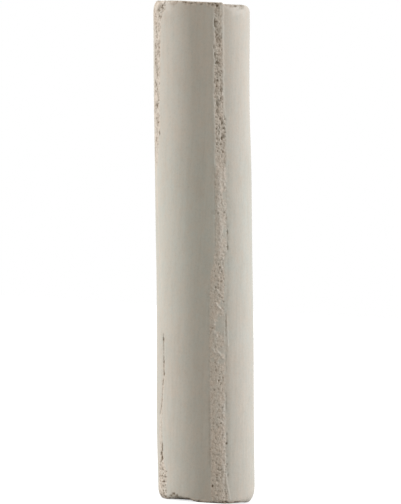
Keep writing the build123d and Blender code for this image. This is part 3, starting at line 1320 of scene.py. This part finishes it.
@dataclass(frozen=True)
class PastelStick:
    """The stick itself, which stands for the plain stick of the frame.

    Attributes:
        barrel: the bar that it is cut from.
        node: the node that it stands for.
        slot: the name of a material slot; not used.
        strips: its rough strips.
        foot_edge: the worn edge round its foot.
        crown_edge: the same round its crown.
        features: all that is pressed into it after the strips, in this order.
        tones: the colour of its smooth skin, from the foot to the crown.
        columns: of its grid, round the barrel.
        wall_rows: of its grid, up the barrel.
        edge_rows: over the rounding of each end edge.
        face_rows: over each end face.
        density: of the columns, where nothing crowds them.
        crowds: the front half, the front strip, the side strip, and the skin between the two strips.
        face_start: how far from the middle of an end face its rows begin, as a share of the radius.
        lift_power: the power of that share by which an edge's lift fades over the end face.
        rim: how far inside the barrel's wall the skin is all end face, and how far inside it is all wall.
        flush: how much pinker the band beside the front strip is.
        flush_angle: of the middle of that band.
        flush_spread: half its width, in degrees.
        proud: how far the skin stands out of the plain bar, which makes up for what is taken off it.
        swell: height of its slow unevenness.
        swell_size: width of that.
        ripple: height of its fine unevenness.
        ripple_size: width of that.
        ripple_patch: width of the patches in which it is fainter.
        face_raw: how raw the end faces are.
        face_pits: depth of their pits.
        face_pit_size: width of those.
        seed: for all the noise that isn't a strip's or an end edge's.
    """

    barrel: Barrel
    node: str
    slot: str
    strips: Sequence[RoughStrip] = (FRONT_STRIP, SIDE_STRIP)
    foot_edge: EndEdge = FOOT_EDGE
    crown_edge: EndEdge = CROWN_EDGE
    features: Sequence[Feature] = FEATURES
    tones: Sequence[Tone] = TONES
    columns: int = 136
    wall_rows: int = 656
    edge_rows: int = 8
    face_rows: int = 18
    density: float = 0.13
    crowds: Sequence[Crowd] = (
        Crowd(0.15, -110.0, -70.0, 70.0, 110.0),
        Crowd(1.30, 1.0, 6.0, 29.0, 34.0),
        Crowd(0.75, -84.0, -78.0, -52.0, -46.0),
        Crowd(0.18, -56.0, -48.0, 2.0, 8.0),
    )
    face_start: float = 0.05
    lift_power: float = 5.0
    rim: tuple[float, float] = (1.0, 0.35)
    flush: float = 0.45
    flush_angle: float = 42.0
    flush_spread: float = 10.0
    proud: float = 0.030
    swell: float = 0.010
    swell_size: float = 7.0
    ripple: float = 0.0020
    ripple_size: float = 0.7
    ripple_patch: float = 3.0
    face_raw: float = 0.6
    face_pits: float = 0.03
    face_pit_size: float = 1.4
    seed: int = 5

    def _angles(self) -> Array:
        """Angles of the grid's columns, crowded in the rough strips and towards the front."""

        def crowding(angle: Array) -> Array:
            """How dense the columns are at some angles."""
            return sum((crowd.at(angle) for crowd in self.crowds), self.density)

        return uneven_steps(-180.0, 180.0, self.columns, crowding)

    def _outline(self, angle: Array) -> tuple[Array, Array]:
        """The stick's outline at each angle, from the foot's middle to the crown's.

        It runs over the foot face to where the edge begins, round a quarter of an ellipse, straight up the
        barrel, and back over the crown. An edge's lift fades over the end face with a power of the reach.

        Args:
            angle: of each column.

        Returns:
            The reach and the height of each grid point, row by row.
        """
        radius, top = self.barrel.radius, self.barrel.height
        out = np.linspace(self.face_start, 1.0, self.face_rows, endpoint=False)[:, None]
        arc = np.linspace(0.0, math.pi / 2, self.edge_rows, endpoint=False)[:, None]
        up = np.linspace(0.0, 1.0, self.wall_rows)[:, None]

        def end(edge: EndEdge) -> tuple[Array, Array]:
            """The rows of one end, from near its middle out to the barrel.

            Args:
                edge: the worn edge round that end.

            Returns:
                Their reach, and how far they lie inside the plane of the cut.
            """
            wall, face, lift = (edge.at(name, angle) for name in ("wall", "face", "lift"))
            reach = np.vstack([out * (radius - face), radius - face * (1.0 - np.sin(arc))])
            return reach, np.vstack([out**self.lift_power * lift, lift + wall * (1.0 - np.cos(arc))])

        foot_reach, foot_depth = end(self.foot_edge)
        crown_reach, crown_depth = end(self.crown_edge)
        low = self.foot_edge.at("lift", angle) + self.foot_edge.at("wall", angle)
        high = top - self.crown_edge.at("lift", angle) - self.crown_edge.at("wall", angle)
        reach = np.vstack([foot_reach, np.full((len(up), len(angle)), radius), crown_reach[::-1]])
        height = np.vstack([foot_depth, low + (high - low) * up, top - crown_depth[::-1]])
        return reach, height

    def _skin(self, angle: Array, reach: Array, height: Array) -> Skin:
        """A smooth skin on the grid.

        Args:
            angle: of each grid point.
            reach: from the barrel's axis.
            height: above the foot.

        Returns:
            The skin, with nothing added yet.
        """
        plain = np.zeros_like(angle)
        flush = self.flush * np.exp(-(((angle - self.flush_angle) / self.flush_spread) ** 2))
        return Skin(
            angle=angle,
            height=height,
            wall=ease(*self.rim, self.barrel.radius - reach),
            spot=np.stack([self.barrel.arc(angle), height, plain], axis=-1),
            space=self.barrel.place(angle, reach, height),
            proud=plain.copy(),
            raw=plain.copy(),
            pit_shade_and_dirt=plain.copy(),
            fresh_and_highlight=plain.copy(),
            blush=between(self.tones, "height", "blush", height) + flush,
            dull=between(self.tones, "height", "dull", height),
        )

    def _wear(self, skin: Skin, reach: Array) -> None:
        """Add every feature to the skin.

        Args:
            skin: what they are added to.
            reach: of each grid point from the barrel's axis.
        """
        grain = Grain(self.seed)
        patches = 0.5 + 0.5 * grain.bumps(skin.space / self.ripple_patch)
        skin.proud += self.proud * skin.wall + self.swell * grain.layers(skin.space / self.swell_size, 2)
        skin.proud += self.ripple * grain.layers(skin.space / self.ripple_size, 2) * patches
        for strip in self.strips:
            strip.carve(skin, self.barrel)
        for feature in self.features:
            feature.press(skin, self.barrel, grain)
        inward = self.barrel.radius - reach
        self.foot_edge.chip_away(skin, np.maximum(skin.height, inward))
        self.crown_edge.chip_away(skin, np.maximum(self.barrel.height - skin.height, inward))
        faces = 1.0 - skin.wall
        pits = np.clip(0.4 + grain.layers(skin.space / self.face_pit_size, 4, 0.6), 0.0, 1.5)
        skin.raise_to("raw", self.face_raw * faces)
        skin.proud -= self.face_pits * faces * pits

    def _faces(self, rows: int, columns: int) -> list[list[int]]:
        """Faces of a closed grid, with a fan round the middle of each end.

        Args:
            rows: from the foot to the crown.
            columns: round the barrel.

        Returns:
            Quads of the grid, then triangles to the last two points, the middles of the foot and the crown.
        """
        index = np.arange(rows * columns).reshape(rows, columns)
        turned = np.roll(index, -1, axis=1)
        quads = np.stack([index[:-1], turned[:-1], turned[1:], index[1:]], axis=-1).reshape(-1, 4)
        foot, crown = np.full(columns, rows * columns), np.full(columns, rows * columns + 1)
        foot_fan = np.stack([turned[0], index[0], foot], axis=-1)
        crown_fan = np.stack([index[-1], turned[-1], crown], axis=-1)
        return quads.tolist() + foot_fan.tolist() + crown_fan.tolist()

    def build(self) -> bpy.types.Object:
        """Make the stick's mesh, with its marks as attributes.

        Each grid point is moved along the plain bar's own outward direction, which is the cross product of
        the grid's two tangents, by as much as its features say.

        Returns:
            The stick's object.
        """
        column = self._angles()
        reach, height = self._outline(column)
        angle = np.broadcast_to(column, reach.shape)
        skin = self._skin(angle, reach, height)
        self._wear(skin, reach)

        padded = np.concatenate([skin.space[:, -1:], skin.space, skin.space[:, :1]], axis=1)
        outward = np.cross(padded[:, 2:] - padded[:, :-2], np.gradient(skin.space, axis=0))
        outward /= np.linalg.norm(outward, axis=-1, keepdims=True)
        points = skin.space + outward * skin.proud[..., None]

        middles = np.stack([points[0].mean(axis=0), points[-1].mean(axis=0)])
        mesh = bpy.data.meshes.new("soft_pastel")
        mesh.from_pydata(np.vstack([points.reshape(-1, 3), middles]) * MM, [], self._faces(*reach.shape))
        mesh.shade_smooth()
        for name in skin.MARKS:
            values = getattr(skin, name)
            kept = mesh.attributes.new(name, "FLOAT", "POINT")
            ends = (values[0].mean(), values[-1].mean())
            kept.data.foreach_set("value", np.append(values, ends).astype(np.float32))
        return add_object("soft_pastel", mesh)

    def dress(self, stick: bpy.types.Object) -> None:
        """Give the stick its finish and its place in the frame.

        Args:
            stick: the stick's object.
        """
        stick.data.materials.append(ChalkFinish().make("chalk"))
        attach(stick, "root")
        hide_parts(self.node)


@dataclass(frozen=True)
class PaperFinish:
    """The studio's white paper, which throws back less light than it shows, so that it doesn't glow.

    Attributes:
        seen: how light it looks.
        lift: light of its own that brings its lit parts up to white.
        thrown: how much of the light it throws back at the stick.
    """

    seen: float = 0.35
    lift: float = 0.72
    thrown: float = 0.36

    def make(self, name: str) -> bpy.types.Material:
        """Build the material.

        Args:
            name: what it is called.

        Returns:
            The material.
        """
        material = bpy.data.materials.new(name)
        graph = Graph(material)
        dull = graph.node("ShaderNodeBsdfDiffuse", values={"Color": opaque((self.thrown,) * 3)})
        pale = graph.node("ShaderNodeBsdfDiffuse", values={"Color": opaque((self.seen,) * 3)})
        glow = graph.node("ShaderNodeEmission", values={"Strength": self.lift})
        bright = graph.node("ShaderNodeAddShader", values={0: pale, 1: glow})
        graph.end(graph.node("ShaderNodeMixShader", values={0: plainly_seen(graph), 1: dull, 2: bright}))
        return material


def plainly_seen(graph: Graph) -> Wire:
    """1 where the camera, a reflection or a clear thing looks, and 0 where light is gathered."""
    rays = [
        graph.node("ShaderNodeLightPath", output=name)
        for name in ("Is Camera Ray", "Is Glossy Ray", "Is Transmission Ray")
    ]
    return rays[0].at_least(rays[1]).at_least(rays[2])


class Side(Enum):
    """The two sides that the studio is lit from, as the sign of their X."""

    LEFT = -1.0
    RIGHT = 1.0


@dataclass(frozen=True)
class Studio:
    """A plain studio: white paper, a lamp at each side, and a camera.

    Attributes:
        barrel: the bar that the stick is cut from.
        lamp_angle: how far round from the front each lamp stands, a little behind the stick.
        lamp_rise: how high each lamp stands, in degrees.
        lamp_spread: how wide each lamp looks from the stick, in degrees.
        lamp_light: the light of each lamp on what faces it.
        left_colour: of the left lamp's light.
        right_colour: of the right lamp's light.
        sky_light: the light from all round, on what the lamps don't reach.
        sky_colour: of that light.
        camera_distance: from the barrel to the camera.
        view_height: how much height the camera takes in at the barrel.
        roll: how far the camera leans towards -X, in degrees.
        aside: how far the camera's aim lies to the left of the barrel's middle.
        floor_size: of the paper.
    """

    barrel: Barrel
    lamp_angle: float = 100.5
    lamp_rise: float = 24.0
    lamp_spread: float = 16.0
    lamp_light: float = 2.80
    left_colour: Colour = (0.985, 1.0, 1.05)
    right_colour: Colour = (0.955, 1.0, 1.09)
    sky_light: float = 0.605
    sky_colour: Colour = (1.03, 1.0, 0.94)
    camera_distance: float = 581.0
    view_height: float = 65.62
    roll: float = 3.5
    aside: float = 0.46
    floor_size: float = 4000.0

    SENSOR = 36.0  # width of the camera's sensor
    CLIP = (10.0, 10000.0)  # how near and how far the camera sees

    def lay_floor(self) -> None:
        """Lay the paper that the stick stands on."""
        half = self.floor_size * MM / 2
        corners = [(-half, -half, 0.0), (half, -half, 0.0), (half, half, 0.0), (-half, half, 0.0)]
        mesh = bpy.data.meshes.new("paper")
        mesh.from_pydata(corners, [], [[0, 1, 2, 3]])
        floor = add_object("paper", mesh)
        floor.data.materials.append(PaperFinish().make("paper"))

    def hang_lamp(self, side: Side) -> None:
        """Hang a lamp.

        Args:
            side: the side that it hangs on.
        """
        lamp = bpy.data.lights.new(f"lamp_{side.name.lower()}", "SUN")
        lamp.energy = self.lamp_light
        lamp.color = self.left_colour if side is Side.LEFT else self.right_colour
        lamp.angle = math.radians(self.lamp_spread)
        turn, rise = math.radians(side.value * self.lamp_angle), math.radians(self.lamp_rise)
        way = Vector((math.sin(turn) * math.cos(rise), -math.cos(turn) * math.cos(rise), math.sin(rise)))
        held = add_object(lamp.name, lamp)
        held.matrix_world = Matrix.Translation(way) @ way.to_track_quat("Z", "Y").to_matrix().to_4x4()

    def light_sky(self) -> None:
        """Fill the studio with even light, and make it look white."""
        world = bpy.data.worlds.new("studio")
        bpy.context.scene.world = world
        graph = Graph(world)
        even, white = (
            graph.node("ShaderNodeBackground", values={"Color": opaque(colour), "Strength": strength})
            for colour, strength in ((self.sky_colour, self.sky_light), ((1.0, 1.0, 1.0), 1.0))
        )
        graph.end(graph.node("ShaderNodeMixShader", values={0: plainly_seen(graph), 1: even, 2: white}))

    def set_camera(self) -> None:
        """Look at the stick from the front, level with its middle, through a long lens."""
        camera = bpy.data.cameras.new("camera")
        camera.sensor_width = self.SENSOR
        camera.lens = self.SENSOR * self.camera_distance / self.view_height
        camera.clip_start, camera.clip_end = (distance * MM for distance in self.CLIP)
        lean = math.radians(self.roll)
        right, forward = Vector((math.cos(lean), 0.0, math.sin(lean))), Vector((0.0, 1.0, 0.0))
        up = right.cross(forward)
        middle = Vector(self.barrel.place(np.array(0.0), np.array(0.0), np.array(self.barrel.height / 2)))
        place = (middle - right * self.aside - forward * self.camera_distance) * MM
        turned = Matrix((right, up, -forward)).transposed().to_4x4()
        held = add_object("camera", camera)
        held.matrix_world = Matrix.Translation(place) @ turned
        bpy.context.scene.camera = held
        bpy.context.scene.view_settings.view_transform = "Standard"


def main() -> None:
    """Build the stick and the studio."""
    logging.basicConfig(level=logging.INFO, format="%(name)s: %(message)s")
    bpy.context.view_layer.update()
    barrel = Barrel.from_frame(frame["record"], "pastel_stick", "barrel")
    maker = PastelStick(barrel, "pastel_stick", "pastel")
    stick = maker.build()
    maker.dress(stick)
    log.info("%s: %d vertices, %d faces", stick.name, len(stick.data.vertices), len(stick.data.polygons))
    studio = Studio(barrel)
    studio.lay_floor()
    for side in Side:
        studio.hang_lamp(side)
    studio.light_sky()
    studio.set_camera()
    log.info("studio: paper, %d lamps and a camera", len(Side))


if __name__ == "__main__":
    main()
